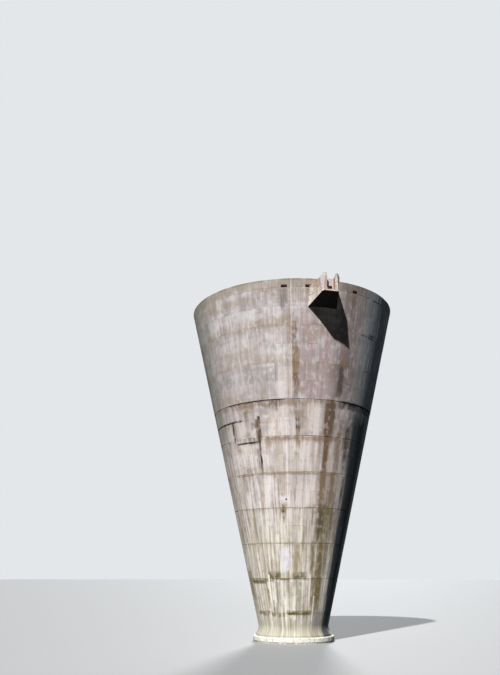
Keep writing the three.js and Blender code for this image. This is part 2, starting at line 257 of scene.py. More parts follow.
# Board-marked concrete: reinforced concrete cast in place against sawn boards and left bare. To the eye it
# is dry, pale and matt. Each sheet of boards leaves its own tone, rain draws streaks down from every joint,
# and soot, rust, lime and moss settle where water runs. Shade is painted in as well: on both flanks, where
# the wall turns from the key light, and near black on the wall inside the spout's channel.
boardMarked = {
    "base": "DCD0BD", "middle": "E9DBD1", "high": "C0B3AF",     # cream below, pinkish grey above
    "ochre": "AE9982", "pale": "E8E2DE", "grey": "9B918E", "brown": "8C7157", "umber": "6E533C",
    "dark": "544A43", "lime": "FBF2DF", "white": "F0E9E8", "moss": "75683A", "darkMoss": "45402A",
    "olive": "7E6C3E", "darkOlive": "655836", "straw": "A08E68", "crevice": "1B1613",
    "rimBrown": "A69682", "rimOlive": "6C6A50", "mould": "38352F", "rust": "8C5F47", "pink": "C9A79C",
    # shadeGrey, shadeBlue and coolGrey are colours of painted shade; the colour named dark serves both
    # stains and painted shade
    "mauve": "A88B8C", "blush": "F4E6DC", "shadeGrey": "757465", "shadeBlue": "343D40",
    "coolGrey": "A3ADB3", "footGrey": "A09A84",
    "roughness": (0.80, 0.98),
    "relief": 0.004,
    "sockets": {"IOR": 1.5},
    "attributes": ["sheetTone", "boardTone", "crevice"],
    "noises": {
        "broad": ("place", (2857, 2857, 2857), 4), "cloud": ("place", (833.3, 833.3, 833.3), 6),
        "mottle": ("place", (294.1, 294.1, 454.5), 5), "fray": ("place", (153.8, 153.8, 312.5), 4),
        "grain": ("place", (41.7, 41.7, 41.7), 5),            # 10 mm stones, drawn coarser so that they show
        "bands": ("place", (8333, 8333, 769), 3), "runs": ("wrapped", (666.7, 666.7, 8333), 4),
        "drips": ("wrapped", (217.4, 217.4, 3333), 4), "lines": ("wrapped", (62.5, 62.5, 1429), 2),
        "woodGrain": ("wrapped", (13.3, 13.3, 500), 3),       # 3 mm, drawn coarser so that it shows
    },
    "noiseSpan": (0.22, 0.78),          # what most of a noise lies between
    "trembles": {             # value, noise and reach: turns and heights that sway, so that edges fray
        "steady": ("turn", "fray", 0.35), "strayed": ("steady", "drips", 1.1),
        "ragged": ("z", "mottle", 0.14), "level": ("z", "mottle", 0.04),
    },
    "levelUnder": 0.35,       # a band less tall than this has nearly level edges
    "raggedUnder": 1.0,       # one less tall than this has ragged edges
    "covers": {               # noise, from, to, least: how whole a stain is
        "patchy": ("mottle", 0.36, 0.52, 0.50), "threaded": ("lines", 0.34, 0.54, 0.62),
    },
    "fades": {
        "side": (1.5, 0.5),   # of a streak, in shares of its half width: where it ends and where it is whole
        "head": (0.1, 0.05),  # above and below its top
        "foot": (0.2, 0.4),   # below its bottom, and the share of its length above that
        "edge": (0.3, 0.4),   # of a band: a height, or at most this share of the band's own
        "end": (7, 0.5),      # of a band: degrees, or at most this share of half its length
        "spot": (1.5, 0.6),   # as a streak's side
    },
    "tones": [
        ("middle", [("z", 8.0, 10.0, 0, 1)]),
        ("high", [("z", 14.2, 16.6, 0, 1)]),
        ("pink", [("turn", -20, 20, 0, 0.32), ("z", 5.0, 9.0, 0, 1)]),
        ("ochre", [("broad", 0.50, 0.66, 0, 0.45)]),
        ("pale", [("broad", 0.48, 0.32, 0, 0.45)]),
        ("ochre", [("bands", 0.50, 0.62, 0, 0.80), ("z", 9.0, 15.0, 0, 1), ("cloud", 0.35, 0.6, 0.4, 1)]),
        ("pale", [("bands", 0.46, 0.36, 0, 0.46), ("z", 12.0, 17.0, 0, 1), ("cloud", 0.35, 0.6, 0.3, 1)]),
        ("ochre", [("share", 0.17, 0.03, 0, 0.55), ("z", 16.5, 18.0, 0, 1), ("cloud", 0.38, 0.55, 0.4, 1)]),
        ("grey", [("sheetTone", 0.40, 1.0, 0, 0.70), ("z", 6.0, 17.0, 0.3, 1),
                  ("cloud", 0.42, 0.58, 0.05, 1)]),
        ("pale", [("sheetTone", 0.50, 0.0, 0, 0.55), ("z", 6.0, 17.0, 0.5, 1),
                  ("cloud", 0.58, 0.42, 0.1, 1)]),
        ("grey", [("cloud", 0.52, 0.64, 0, 0.32), ("z", 9.0, 16.0, 0, 1)]),
    ],
    "patches": [              # first and last turn, bottom, top, strength, colour: under the streaks
        (-62, 2, 19.50, 20.40, 0.42, "ochre"), (-66, 8, 21.95, 22.75, 0.40, "ochre"),
        (2, 34, 21.2, 22.3, 0.45, "ochre"), (-56, -20, 20.6, 21.6, 0.30, "pale"),
        (-36, -2, 18.25, 19.62, 0.60, "grey"), (-30, -7, 23.2, 24.60, 0.50, "grey"),
        (-62, -42, 18.2, 19.4, 0.35, "grey"), (-3, 44, 17.2, 20.8, 0.50, "mauve"),
        (-1, 47, 19.9, 22.6, 0.34, "mauve"), (26, 48, 21.8, 24.7, 0.30, "mauve"),
        (-11, 3, 17.1, 19.5, 0.55, "blush"), (-11, 26, 9.8, 12.2, 0.60, "blush"),
        (-14, 24, 12.1, 14.4, 0.60, "blush"), (-46, -26, 12.4, 14.2, 0.60, "blush"),
        (-18, 2, 12.0, 17.0, 0.60, "blush"), (7, 24, 14.8, 17.1, 0.75, "blush"),
        (-17, 1, 4.9, 7.15, 0.8, "white"), (29, 35, 12.0, 14.6, 0.60, "blush"),
        (22.6, 31.5, 14.70, 17.15, 0.95, "umber"), (23.5, 29.5, 12.20, 14.75, 0.85, "brown"),
        (22.5, 30.5, 9.70, 12.25, 0.85, "brown"), (23.5, 36, 7.20, 9.70, 0.90, "olive"),
        (25, 37, 4.70, 7.20, 0.95, "olive"), (26, 39, 2.20, 4.70, 0.90, "olive"),
        (30, 36, 17.3, 19.8, 0.80, "umber"), (43, 58, 12.2, 17.1, 0.60, "dark"),
        (-58, -22, 24.62, 25.28, 0.60, "grey"), (-20, -6, 24.7, 25.2, 0.4, "pale"),
        (20, 50, 24.6, 25.3, 0.5, "grey"),
        (-34, -8, 9.9, 11.4, 0.45, "blush"), (-52, -28, 14.9, 16.0, 0.35, "blush"),
    ],
    "layers": [
        ("brown", [("boardTone", 0.50, 1.0, 0, 0.30), ("z", 17.0, 9.0, 0.60, 1)]),
        ("pale", [("boardTone", 0.50, 0.0, 0, 0.40), ("z", 17.0, 9.0, 0.50, 1)]),
        ("brown", [("runs", 0.51, 0.66, 0, 0.45), ("z", 18.0, 10.0, 0.25, 1)]),
        ("grey", [("runs", 0.47, 0.34, 0, 0.40), ("z", 20.0, 12.0, 0.35, 1)]),
        ("brown", [("drips", 0.53, 0.66, 0, 0.65), ("z", 17.0, 9.0, 0.10, 1), ("z", 5.5, 8.5, 0, 1)]),
        ("straw", [("drips", 0.51, 0.62, 0, 0.62), ("z", 8.5, 5.5, 0, 1)]),
        ("olive", [("drips", 0.60, 0.72, 0, 0.32), ("z", 7.5, 5.0, 0, 1)]),
        ("lime", [("drips", 0.48, 0.36, 0, 0.85), ("z", 14.0, 6.0, 0.06, 1)]),
        ("lime", [("lines", 0.57, 0.70, 0, 0.70), ("z", 13.0, 6.0, 0.05, 1)]),
        ("dark", [("lines", 0.44, 0.30, 0, 0.18), ("z", 20.0, 10.0, 0.4, 1)]),
        ("brown", [("share", 0.72, 1.0, 0, 0.80), ("drips", 0.42, 0.60, 0.1, 1), ("z", 12.0, 13.0, 0.3, 1),
                   ("z", 18.0, 17.0, 0.15, 1)]),
        ("grey", [("mottle", 0.53, 0.68, 0, 0.35)]),
        ("pale", [("mottle", 0.46, 0.34, 0, 0.30)]),
        ("rimBrown", [("ragged", rimBase - 0.25, rimBase + 0.35, 0, 0.75), ("cloud", 0.34, 0.54, 0.45, 1)]),
        ("rimOlive", [("z", rimBase + 0.42, rimBase + 0.60, 0, 0.7), ("cloud", 0.40, 0.60, 0.2, 1)]),
        ("footGrey", [("z", 2.2, 1.2, 0, 0.55), ("cloud", 0.62, 0.42, 0, 1)]),
        ("lime", [("z", 2.2, 1.0, 0, 0.24), ("mottle", 0.35, 0.55, 0.4, 1)]),
        ("footGrey", [("z", 1.9, 0.5, 0, 0.75), ("drips", 0.36, 0.58, 0.5, 1)]),
        # Painted shade: shadeGrey darkens the left flank, and dark, coolGrey and shadeBlue darken and cool
        # the right flank where it turns from the key light. The olive layer among them is a stain.
        ("shadeGrey", [("turn", -46, -66, 0, 0.52), ("turn", -120, -95, 0, 1), ("z", 8.0, 18.0, 0.12, 1)]),
        ("dark", [("turn", 24, 31, 0, 0.45), ("strayed", 92, 62, 0, 1), ("mottle", 0.30, 0.50, 0.6, 1),
                  ("z", 16.6, 17.3, 0.35, 1)]),
        ("olive", [("turn", 23, 29, 0, 0.30), ("turn", 44, 38, 0, 1), ("z", 12.0, 9.6, 0, 1)]),
        ("coolGrey", [("turn", 42, 52, 0, 0.50), ("turn", 72, 62, 0, 1), ("z", 15.6, 17.4, 0, 1)]),
        ("shadeBlue", [("strayed", 48.5, 53, 0, 0.90), ("strayed", 80, 63, 0, 1), ("z", 17.4, 15.6, 0, 1)]),
    ],
    "slits": [                # turn, half width in degrees, top, bottom, strength, colour
        (-0.1, 0.30, 25.2, 15.0, 0.42, "lime"), (-0.8, 0.24, 25.2, 15.0, 0.45, "brown"),
        (-31.0, 1.1, 4.95, 2.6, 1.0, "lime"), (21.0, 1.0, 4.95, 2.6, 1.0, "lime"),
        (43.5, 1.3, 4.9, 2.0, 1.0, "lime"), (-11.0, 1.2, 3.2, 1.0, 0.95, "lime"),
        (28.5, 0.9, 3.4, 0.8, 0.85, "lime"), (-35.0, 1.4, 2.5, 1.0, 0.80, "lime"),
        (-17.0, 0.8, 2.6, 0.9, 0.80, "lime"),
        (-24.3, 1.1, 16.1, 14.3, 1.0, "mould"), (-25.0, 0.85, 14.8, 11.95, 1.0, "mould"),
        (-25.4, 2.0, 15.9, 14.2, 0.80, "umber"), (-48.9, 1.0, 15.95, 14.15, 1.0, "mould"),
        (-10.5, 0.8, 17.1, 16.3, 0.60, "dark"), (2.9, 0.35, 15.9, 15.0, 0.85, "mould"),
        (4.8, 0.30, 15.9, 15.2, 0.75, "mould"), (31.0, 0.40, 16.9, 15.6, 0.80, "mould"),
        (-34.5, 0.8, 3.9, 2.8, 0.95, "olive"), (-27.5, 0.9, 3.1, 1.9, 0.95, "olive"),
        (-24.0, 0.7, 2.9, 1.9, 0.75, "moss"), (180.0, 0.5, 17.1, 12.2, 0.7, "mould"),
    ],
    "stains": [               # the same, with frayed edges
        (1.3, 1.1, 22.4, 20.9, 0.85, "brown"), (1.9, 0.9, 21.9, 20.3, 0.45, "dark"),
        (2.4, 2.0, 20.7, 19.0, 0.90, "brown"), (2.6, 1.8, 19.7, 18.2, 0.85, "brown"),
        (2.8, 1.5, 18.9, 17.2, 0.80, "umber"), (3.4, 1.8, 17.1, 15.6, 0.75, "brown"),
        (4.6, 1.4, 15.3, 13.6, 0.85, "brown"), (-2.0, 0.5, 24.7, 14.0, 0.35, "brown"),
        (-3.8, 1.5, 24.5, 23.1, 0.55, "grey"), (33.0, 2.0, 19.9, 18.0, 1.0, "brown"),
        (33.5, 1.2, 19.5, 17.6, 0.75, "dark"), (27.6, 3.8, 17.2, 13.8, 1.0, "umber"),
        (26.4, 2.0, 14.9, 11.7, 1.0, "umber"), (21.6, 0.8, 14.6, 12.2, 0.50, "straw"),
        (37.5, 2.2, 15.0, 12.0, 0.75, "brown"), (25.6, 3.2, 12.3, 9.4, 1.0, "brown"),
        (36.0, 2.8, 12.2, 9.6, 0.85, "brown"), (20.5, 1.6, 9.9, 8.2, 0.55, "brown"),
        (27.4, 4.2, 9.9, 7.0, 1.0, "darkOlive"), (35.0, 2.6, 9.8, 7.2, 0.85, "olive"),
        (22.5, 2.2, 7.3, 4.6, 0.80, "olive"), (31.0, 3.0, 7.3, 4.6, 0.95, "olive"),
        (38.5, 2.4, 7.2, 4.7, 0.75, "brown"), (25.5, 2.2, 4.75, 2.2, 0.80, "olive"),
        (34.0, 3.2, 4.8, 2.2, 0.95, "olive"), (41.0, 2.0, 9.5, 7.4, 0.60, "moss"),
        (-26.4, 1.4, 14.4, 12.0, 0.60, "umber"), (-47.3, 1.6, 15.8, 14.3, 0.55, "brown"),
        (-35.0, 1.4, 16.6, 15.4, 0.50, "brown"), (9.0, 2.2, 17.0, 14.8, 0.40, "brown"),
        (15.0, 2.0, 14.6, 12.4, 0.45, "ochre"), (3.0, 1.8, 13.6, 12.2, 0.55, "ochre"),
        (-12.0, 1.8, 14.6, 12.9, 0.50, "ochre"), (-18.0, 2.6, 14.5, 13.9, 0.85, "ochre"),
        (-34.0, 2.5, 17.1, 15.9, 0.70, "brown"), (-14.0, 3.0, 17.1, 16.4, 0.55, "dark"),
        (-45.0, 3.0, 12.1, 10.6, 0.55, "brown"), (-38.0, 2.0, 9.6, 7.9, 0.45, "straw"),
        (-8.6, 1.2, 9.9, 8.6, 0.90, "olive"), (12.0, 2.5, 6.6, 4.9, 0.35, "lime"),
        (-15.0, 1.6, 4.5, 3.0, 0.60, "lime"), (5.0, 3.0, 7.1, 5.2, 0.75, "straw"),
        (-20.0, 3.0, 4.4, 2.3, 0.60, "grey"), (-3.5, 2.2, 4.4, 2.3, 0.70, "footGrey"),
        (7.5, 3.2, 4.4, 2.3, 0.80, "footGrey"), (-68.0, 6.0, 5.2, 2.0, 0.60, "olive"),
        (-20.0, 2.4, 2.0, 0.7, 0.35, "olive"), (-12.0, 1.6, 1.7, 0.9, 0.55, "footGrey"),
        (-8.0, 1.2, 1.6, 0.8, 0.80, "footGrey"), (-4.0, 1.4, 1.8, 0.9, 0.55, "olive"),
        (3.0, 3.0, 1.7, 0.8, 0.60, "footGrey"), (38.0, 7.0, 2.2, 0.9, 0.75, "grey"),
        (45.5, 1.8, 15.4, 12.8, 0.9, "darkMoss"), (49.0, 1.5, 12.0, 9.8, 0.7, "darkMoss"),
        (95.0, 2.5, 24.2, 18.5, 0.65, "brown"), (128.6, 1.4, 19.7, 13.4, 0.70, "rust"),
        (158.0, 4.0, 17.1, 12.0, 0.65, "brown"), (180.0, 1.2, 24.6, 14.0, 0.55, "dark"),
        (-165.0, 3.0, 14.6, 7.4, 0.65, "brown"), (-128.0, 2.6, 19.6, 15.2, 0.70, "brown"),
        (-98.0, 3.0, 12.1, 6.2, 0.60, "brown"), (-76.0, 2.0, 22.1, 18.3, 0.45, "dark"),
        (140.0, 4.0, 9.6, 5.5, 0.55, "lime"), (66.0, 3.0, 12.1, 3.0, 0.50, "dark"),
    ],
    "slotStain": (1.5, 24.6, 23.0, 0.40, "dark"),       # under each drain slot, without its turn
    "bands": [                # first and last turn, bottom, top, strength, colour: over the streaks
        (1, 9, 17.35, 18.1, 0.55, "brown"), (2, 7, 15.05, 15.95, 0.55, "dark"),
        (-32, -24, 15.0, 15.9, 0.60, "umber"), (-34, -12, 4.52, 5.30, 1.0, "moss"),
        (-3, 19, 4.52, 5.26, 1.0, "moss"), (-27, -18, 4.55, 4.95, 0.5, "darkMoss"),
        (3, 11, 4.58, 4.92, 0.35, "darkMoss"), (-72, -22, 4.30, 4.74, 0.9, "olive"),
        (-70, -32, 4.22, 4.54, 0.6, "darkMoss"), (-26, 1, 4.52, 4.74, 0.9, "olive"),
        (2, 45, 4.50, 4.70, 0.5, "olive"), (-64, -28, 1.94, 2.42, 0.9, "moss"),
        (-36, -8, 1.84, 2.34, 0.7, "olive"), (-16, 32, 2.00, 2.44, 1.0, "moss"),
        (-14, 30, 2.04, 2.22, 0.6, "darkMoss"), (20, 50, 1.85, 2.40, 0.8, "footGrey"),
        (-60, 22, 7.04, 7.30, 0.5, "straw"), (-64, 50, 9.54, 9.72, 0.40, "olive"),
        (10, 24, 9.55, 9.80, 0.5, "mauve"), (-13, -5, 9.20, 9.80, 0.8, "olive"),
        (150, 230, 4.56, 5.2, 0.9, "moss"), (110, 260, 1.9, 2.5, 0.8, "moss"),
        (-14, -3, 5.05, 7.0, 0.80, "white"), (-54, -2, 17.02, 17.24, 0.8, "dark"),
        (33, 82, 16.96, 17.28, 1.0, "mould"), (34, 54, 16.90, 17.30, 1.0, "crevice"),
        (-50, 12, 16.62, 17.14, 0.5, "brown"), (30, 80, 16.60, 17.14, 0.8, "dark"),
        (-82, -35, 15.84, 16.06, 1.0, "mould"), (-50, -25, 14.22, 14.44, 1.0, "mould"),
        (-24, 40, 14.30, 14.68, 0.5, "brown"), (-60, 45, 11.92, 12.22, 0.6, "brown"),
        (43, 60, 21.92, 22.14, 0.9, "mould"), (30.5, 35.5, 17.6, 19.7, 0.7, "dark"),
        (-13, -2, 9.95, 10.7, 0.7, "white"), (52, 60, 22.1, 22.32, 0.8, "mould"),
        # The crevice band at 14.6 to 20 degrees is painted shade: the wall inside the spout's channel, near
        # black so that the hole reads black
        (118, 215, 19.5, 19.8, 0.7, "crevice"), (14.6, 20.0, 23.9, 25.4, 1.0, "crevice"),
    ],
    "spots": [                # turn, height, half size in metres: holes where a nail or a stone came away
        (-5.6, 10.25, 0.07), (-8.7, 9.42, 0.06),
    ],
    "spotLayer": ("mould", 0.9),        # their colour and strength
    "joints": ("crevice", [("crevice", 0.06, 0.85, 0, 0.92)]),
}


def boardMarkedConcrete():
    material, tree = newMaterial("boardMarkedConcrete")
    values = surfaceValues(tree, boardMarked)
    lifts = addNode(tree, "Math", {0: values["z"], 1: footTop}, operation="SUBTRACT")
    lifts = addNode(tree, "Math", {0: lifts, 1: liftHeight}, operation="DIVIDE")
    values["share"] = addNode(tree, "Math", {0: lifts}, operation="FRACT")
    least, most = boardMarked["noiseSpan"]
    for name, (value, noiseName, reach) in boardMarked["trembles"].items():
        sway = addNode(tree, "MapRange", {"Value": values[noiseName], "From Min": least, "From Max": most,
                                          "To Min": -reach, "To Max": reach}, clamp=False)
        values[name] = addNode(tree, "Math", {0: values[value], 1: sway}, operation="ADD")
    for name, (noiseName, start, end, low) in boardMarked["covers"].items():
        values[name] = addNode(tree, "MapRange", {
            "Value": values[noiseName], "From Min": start, "From Max": end, "To Min": low},
            interpolation_type="SMOOTHSTEP", clamp=False)
    values["broken"] = addNode(tree, "Math", {0: values["patchy"], 1: values["threaded"]},
                               operation="MULTIPLY")

    # How far a place lies from a mark's middle. Near the back the turn jumps from 180 to -180.
    def awayFrom(name, centre):
        off = addNode(tree, "Math", {0: values[name], 1: centre}, operation="SUBTRACT")
        if abs(centre) > 100:
            off = addNode(tree, "Math", {0: off, 1: 180.0, 2: -180.0}, operation="WRAP")
        return addNode(tree, "Math", {0: off}, operation="ABSOLUTE")

    fades = boardMarked["fades"]

    def streakLayers(streaks, value, cover):
        layers = []
        (halo, core), (above, under), (below, share) = fades["side"], fades["head"], fades["foot"]
        for centre, half, top, bottom, strength, colour in streaks:
            centre = (centre + 180) % 360 - 180
            layers.append((colour, [
                (lambda centre=centre: awayFrom(value, centre), half * halo, half * core, 0, strength),
                ("z", top + above, top - under, 0, 1),
                ("z", bottom - below, bottom + (top - bottom) * share, 0, 1),
                cover,
            ]))
        return layers

    def bandLayers(bands):
        layers = []
        (edge, edgeShare), (end, endShare) = fades["edge"], fades["end"]
        for low, high, bottom, top, strength, colour in bands:
            centre, half = ((low + high) / 2 + 180) % 360 - 180, (high - low) / 2
            core, soft = half - min(end, half * endShare), min(edge, edgeShare * (top - bottom))
            value = "z" if top - bottom >= boardMarked["raggedUnder"] else "ragged"
            value = "level" if top - bottom < boardMarked["levelUnder"] else value
            layers.append((colour, [
                (value, bottom, bottom + soft, 0, strength), (value, top, top - soft, 0, 1),
                (lambda centre=centre: awayFrom("turn", centre), half, core, 0, 1), "patchy",
            ]))
        return layers

    slotStains = [(turn, *boardMarked["slotStain"]) for turn in rim["slotTurns"]]
    layers = boardMarked["tones"] + bandLayers(boardMarked["patches"]) + boardMarked["layers"]
    layers += streakLayers(boardMarked["stains"] + slotStains, "strayed", "broken")
    layers += bandLayers(boardMarked["bands"]) + streakLayers(boardMarked["slits"], "steady", "patchy")
    (halo, core), (spotColour, strength) = fades["spot"], boardMarked["spotLayer"]
    for centre, height, half in boardMarked["spots"]:
        turn, radius = math.radians(centre), wallRadius(height)
        far = addNode(tree, "VectorMath", {
            0: values["place"], 1: (math.sin(turn) * radius, -math.cos(turn) * radius, height)},
            operation="DISTANCE")
        layers.append((spotColour, [
            (lambda far=far: far.outputs["Value"], half * halo, half * core, 0, strength)]))
    layers.append(boardMarked["joints"])
    layColours(tree, boardMarked, values, layers)
    return material


# Cast concrete with iron in its sand: the same concrete as the wall's, in thin plates, where the bars lie
# near the face. To the eye it is cream, with orange-brown bloom on the sheltered faces. Its underside, the
# inside of the channel behind its apron and the floor's top are painted shade, near black.
rustStained = {
    "base": "D6C8B8", "rust": "B5805F", "deepRust": "8F6048", "lilac": "BDB0B4", "paintedShadeBlack": "0F0E0D",
    "grey": "A49C95", "pale": "F3EDE0", "tan": "B3957D",
    "roughness": (0.78, 0.96),
    "relief": 0.003,
    "sockets": {"IOR": 1.5},
    "attributes": ["bloom", "weak", "tanned", "sooty", "boardTone"],
    "noises": {
        "cloud": ("place", (385, 385, 385), 5), "mottle": ("place", (111, 111, 111), 4),
        "drips": ("place", (111, 111, 1111), 4), "grain": ("place", (33.3, 33.3, 33.3), 5),
    },
    "layers": [
        ("grey", [("cloud", 0.50, 0.70, 0, 0.35)]),
        ("pale", [("cloud", 0.50, 0.34, 0, 0.60)]),
        ("grey", [("boardTone", 0.50, 1.0, 0, 0.30)]),
        ("tan", [("tanned", 0.4, 0.6, 0, 0.75), ("cloud", 0.30, 0.50, 0.6, 1)]),
        ("lilac", [("weak", 0.0, 1.0, 0, 0.90)]),
        ("rust", [("bloom", 0.0, 1.0, 0, 0.75), ("cloud", 0.25, 0.50, 0.6, 1)]),
        ("deepRust", [("bloom", 0.3, 1.0, 0, 0.60), ("drips", 0.50, 0.66, 0, 1)]),
        ("rust", [("drips", 0.54, 0.70, 0, 0.55)]),
        ("grey", [("mottle", 0.54, 0.70, 0, 0.35)]),
        # Painted shade, near black: the faces that look down, and the faces marked as inside the channel
        ("paintedShadeBlack", [("facingUp", -0.3, -0.8, 0, 0.96)]),
        ("paintedShadeBlack", [("sooty", 0.4, 0.6, 0, 0.97)]),
    ],
}

# Limewashed concrete: a cast base brushed with lime putty. To the eye it is chalky white, thin on the edges
# where the grey shows through, with earth splashed up by rain along its foot.
limewashed = {
    "base": "E6E0D2", "worn": "B4AC9E", "splash": "96876E", "chalk": "F6F3EB", "green": "8B8B66",
    "roughness": (0.86, 1.0),
    "relief": 0.003,
    "sockets": {"IOR": 1.5},
    "attributes": ["crevice"],
    "noises": {
        "cloud": ("place", (556, 556, 556), 5), "mottle": ("place", (143, 143, 143), 5),
        "grain": ("place", (25, 25, 25), 4), "drips": ("wrapped", (111, 111, 1250), 3),
    },
    "layers": [
        ("chalk", [("cloud", 0.48, 0.34, 0, 0.8)]),
        ("worn", [("mottle", 0.54, 0.66, 0, 0.65)]),
        ("worn", [("drips", 0.55, 0.70, 0, 0.5)]),
        ("green", [("facingUp", 0.3, 0.9, 0, 0.5), ("cloud", 0.50, 0.62, 0, 1)]),
        ("splash", [("z", 0.20, 0.0, 0, 0.8), ("mottle", 0.35, 0.60, 0.3, 1)]),
        ("worn", [("crevice", 0.1, 0.9, 0, 0.9)]),
    ],
}

# Trowelled concrete: a roof slab laid in bays and floated by hand. To the eye it is flat grey with cloudy
# patches, darker where rain water stands along the joints and the edge, and specked with lichen.
trowelled = {
    "base": "A39D93", "pale": "BDB7AC", "wet": "6F6A61", "lichen": "8F8A62", "crevice": "3A3631",
    "roughness": (0.70, 0.95),
    "relief": 0.002,
    "sockets": {"IOR": 1.5},
    "attributes": ["crevice"],
    "noises": {
        "cloud": ("place", (1429, 1429, 1429), 5), "mottle": ("place", (250, 250, 250), 5),
        "specks": ("place", (62.5, 62.5, 62.5), 3),           # lichen
        "grain": ("place", (16.7, 16.7, 16.7), 4),
    },
    "layers": [
        ("pale", [("cloud", 0.50, 0.36, 0, 0.8)]),
        ("wet", [("cloud", 0.54, 0.68, 0, 0.6)]),
        ("pale", [("mottle", 0.54, 0.68, 0, 0.4)]),
        ("wet", [("z", rimBase + 0.10, rimBase, 0, 0.5), ("mottle", 0.35, 0.6, 0.2, 1)]),
        ("lichen", [("specks", 0.60, 0.68, 0, 0.8), ("cloud", 0.40, 0.60, 0, 1)]),
        ("crevice", [("crevice", 0.1, 0.9, 0, 0.9)]),
    ],
}

# Galvanised sheet steel: mild steel dipped in zinc, some years old. To the eye it is a dull blue-grey with
# faint flakes of spangle, white bloom in patches and a little rust where the zinc has gone.
galvanised = {
    "base": "8E9498", "flake": "A9AFB2", "bloom": "C9CBC8", "rust": "7C543C",
    "roughness": (0.38, 0.62),
    "relief": 0.0005,
    "sockets": {"Metallic": 0.85},
    "attributes": [],
    "noises": {
        "cloud": ("place", (200, 200, 200), 4), "flakes": ("place", (14, 14, 14), 1),       # spangle
        "grain": ("place", (6.2, 6.2, 6.2), 2),
    },
    "layers": [
        ("flake", [("flakes", 0.52, 0.56, 0, 0.6)]),
        ("bloom", [("cloud", 0.56, 0.70, 0, 0.6)]),
        ("rust", [("cloud", 0.36, 0.28, 0, 0.8)]),
    ],
}


# Pieces

mergeDistance = 0.0001
flatAngle = math.radians(1)         # faces that meet at less are one face
sharpAngle = math.radians(20)       # edges that turn by more are rounded


def finishPiece(name, bm, material, nodes):
    mesh = bpy.data.meshes.new(name)
    bm.to_mesh(mesh)
    bm.free()
    mesh.materials.append(material)
    piece = bpy.data.objects.new(name, mesh)
    scene.collection.objects.link(piece)
    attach(piece, "root")
    if nodes:
        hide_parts(*nodes)
    return piece


def spinProfile(profile, steps):
    bm = bmesh.new()
    corners = [bm.verts.new((0, -radius, z)) for radius, z in profile]
    edges = [bm.edges.new((corners[i - 1], corners[i])) for i in range(len(corners))]
    bmesh.ops.spin(bm, geom=corners + edges, cent=(0, 0, 0), axis=(0, 0, 1), angle=math.tau,
                   steps=steps, use_merge=True)
    bmesh.ops.remove_doubles(bm, verts=bm.verts, dist=mergeDistance)
    bmesh.ops.recalc_face_normals(bm, faces=bm.faces)
    return bm


# The solid that a piece is worked from, with whole faces in place of triangles
def solidOf(node):
    bm = bmesh.new()
    bm.from_mesh(bpy.data.objects[node].data)
    bmesh.ops.remove_doubles(bm, verts=bm.verts, dist=mergeDistance)
    bmesh.ops.dissolve_limit(bm, angle_limit=flatAngle, verts=bm.verts, edges=bm.edges)
    return bm


def sharpEdges(bm):
    return [e for e in bm.edges if e.is_manifold and e.calc_face_angle() > sharpAngle]


def roundEdges(bm, edges, width, segments=2):
    bmesh.ops.bevel(bm, geom=edges, offset=width, offset_type="OFFSET", affect="EDGES", segments=segments,
                    profile=0.5, material=-1, clamp_overlap=True)


def turnOf(place):
    return math.atan2(place.x, -place.y)


def addBlock(bm, low, high, turn=0.0):
    low, high = Vector(low), Vector(high)
    fit = Matrix.Translation((low + high) / 2) @ Matrix.Diagonal((*(high - low), 1))
    bmesh.ops.create_cube(bm, size=1, matrix=Matrix.Rotation(math.radians(turn), 4, "Z") @ fit)


# Cuts a slot through a piece at each turn. It reaches outwards and inwards from the wall's face at the foot
# of the rim.
def cutSlots(piece, turns, width, outwards, inwards, low, high):
    bm = bmesh.new()
    near, far = -baseRadius - outwards, inwards - baseRadius
    for turn in turns:
        addBlock(bm, (-width / 2, near, low), (width / 2, far, high), turn)
    mesh = bpy.data.meshes.new("cutter")
    bm.to_mesh(mesh)
    bm.free()
    cutter = bpy.data.objects.new("cutter", mesh)
    scene.collection.objects.link(cutter)
    modifier = piece.modifiers.new("cut", "BOOLEAN")
    modifier.object = cutter
    modifier.solver = "EXACT"
    bpy.context.view_layer.update()
    seen = piece.evaluated_get(bpy.context.evaluated_depsgraph_get())
    result = bpy.data.meshes.new_from_object(seen)
    piece.modifiers.clear()
    piece.data = result
    bpy.data.objects.remove(cutter)


